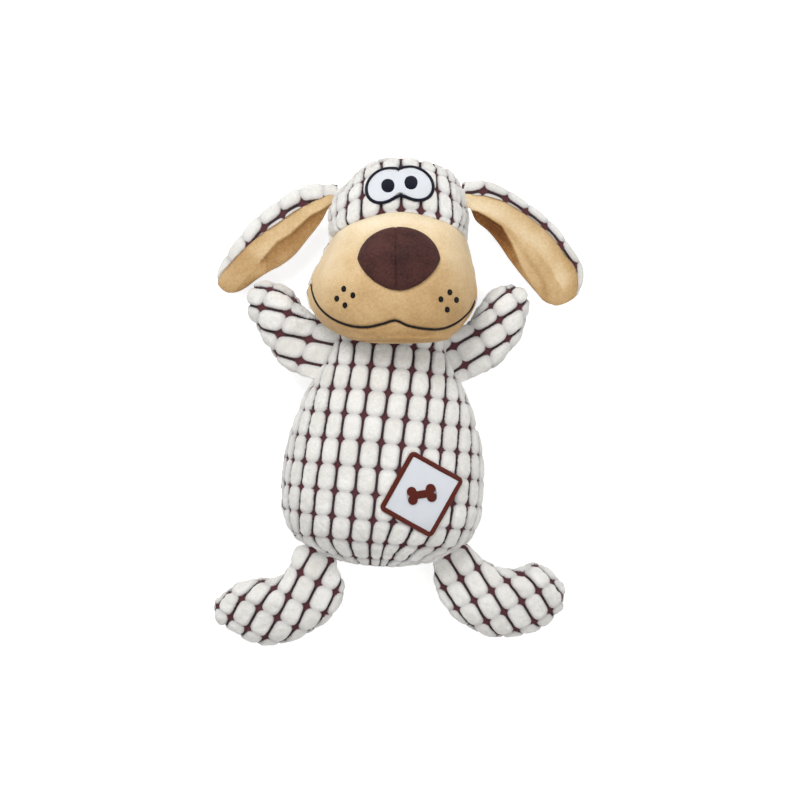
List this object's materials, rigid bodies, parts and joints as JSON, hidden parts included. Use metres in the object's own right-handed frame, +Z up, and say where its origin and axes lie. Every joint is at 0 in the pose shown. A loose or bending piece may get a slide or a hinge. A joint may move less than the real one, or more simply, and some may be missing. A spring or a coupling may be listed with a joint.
{
  "type": "plush dog toy",
  "caption": "Stuffed plush dog lying on its back: pear-shaped body, hinged head with long muzzle, floppy ears, short arms and feet, belly patch, squeaker inside",
  "frame": {"origin": "on the surface the toy lies on, under the middle of its outline", "axes": "+Z up and out of the belly, +Y to the top of the head, +X to the dog's own left"},
  "size_m": [0.1986, 0.2612, 0.0843],
  "materials": {
    "lattice_plush": "cream lattice plush in raised oblong cells on a dark brown ground",
    "tan_velour": "short tan velour with a fine nap",
    "nose_velour": "short dark brown velour",
    "white_cloth": "smooth white woven cloth",
    "navy_thread": "navy satin stitch",
    "black_thread": "black embroidery thread",
    "brown_thread": "reddish brown satin stitch",
    "fibre_fill": "white polyester fibre fill",
    "squeaker_plastic": "soft translucent plastic",
    "reed_plastic": "thin hard plastic reed"
  },
  "bodies": {
    "torso": {"body_front": "lattice_plush", "body_back": "lattice_plush", "body_stuffing": "fibre_fill", "squeaker_bulb": "squeaker_plastic", "squeaker_plug": "squeaker_plastic", "squeaker_reed": "reed_plastic", "patch_cloth": "white_cloth", "patch_border": "brown_thread", "patch_bone": "brown_thread"},
    "head": {"head_back": "lattice_plush", "neck_panel": "lattice_plush", "head_stuffing": "fibre_fill", "crown_front": "lattice_plush", "chin": "tan_velour", "muzzle_right": "tan_velour", "muzzle_left": "tan_velour", "nose_right": "nose_velour", "nose_left": "nose_velour", "eye_white": "white_cloth", "eye_outline": "navy_thread", "pupil_right": "navy_thread", "pupil_left": "navy_thread", "mouth_stitch": "black_thread", "whisker_right_1": "black_thread", "whisker_right_2": "black_thread", "whisker_right_3": "black_thread", "whisker_right_4": "black_thread", "whisker_left_1": "black_thread", "whisker_left_2": "black_thread", "whisker_left_3": "black_thread", "whisker_left_4": "black_thread"},
    "ear_right": {"ear_right_outer": "lattice_plush", "ear_right_inner": "tan_velour"},
    "ear_left": {"ear_left_outer": "lattice_plush", "ear_left_inner": "tan_velour"},
    "arm_right": {"arm_right_front": "lattice_plush", "arm_right_back": "lattice_plush", "arm_right_stuffing": "fibre_fill"},
    "arm_left": {"arm_left_front": "lattice_plush", "arm_left_back": "lattice_plush", "arm_left_stuffing": "fibre_fill"},
    "leg_right": {"leg_right_front": "lattice_plush", "leg_right_back": "lattice_plush", "leg_right_stuffing": "fibre_fill"},
    "leg_left": {"leg_left_front": "lattice_plush", "leg_left_back": "lattice_plush", "leg_left_stuffing": "fibre_fill"}
  },
  "joints": [
    {"name": "neck_nod", "type": "hinge", "parent": "torso", "child": "head", "pos_m": [-0.00381, 0.03658, 0.027], "axis": [1, 0, 0], "range_deg": [-20, 15], "stiffness_Nm_per_rad": 0.12},
    {"name": "ear_right_flap", "type": "hinge", "parent": "head", "child": "ear_right", "pos_m": [-0.03785, 0.11282, 0.027], "axis": [-0.1045, 0.9945, 0], "range_deg": [-20, 60], "stiffness_Nm_per_rad": 0.004},
    {"name": "ear_left_flap", "type": "hinge", "parent": "head", "child": "ear_left", "pos_m": [0.03959, 0.11293, 0.027], "axis": [-0.1045, -0.9945, 0], "range_deg": [-20, 60], "stiffness_Nm_per_rad": 0.004},
    {"name": "arm_right_swing", "type": "hinge", "parent": "torso", "child": "arm_right", "pos_m": [-0.04334, 0.02221, 0.027], "axis": [0.4067, 0.9135, 0], "range_deg": [-25, 30], "stiffness_Nm_per_rad": 0.02},
    {"name": "arm_left_swing", "type": "hinge", "parent": "torso", "child": "arm_left", "pos_m": [0.03236, 0.02087, 0.027], "axis": [0.3584, -0.9336, 0], "range_deg": [-25, 30], "stiffness_Nm_per_rad": 0.02},
    {"name": "leg_right_swing", "type": "hinge", "parent": "torso", "child": "leg_right", "pos_m": [-0.04287, -0.08468, 0.027], "axis": [-0.9511, 0.309, 0], "range_deg": [-20, 60], "stiffness_Nm_per_rad": 0.025},
    {"name": "leg_left_swing", "type": "hinge", "parent": "torso", "child": "leg_left", "pos_m": [0.02706, -0.08512, 0.027], "axis": [-0.891, -0.454, 0], "range_deg": [-20, 60], "stiffness_Nm_per_rad": 0.025}
  ]
}
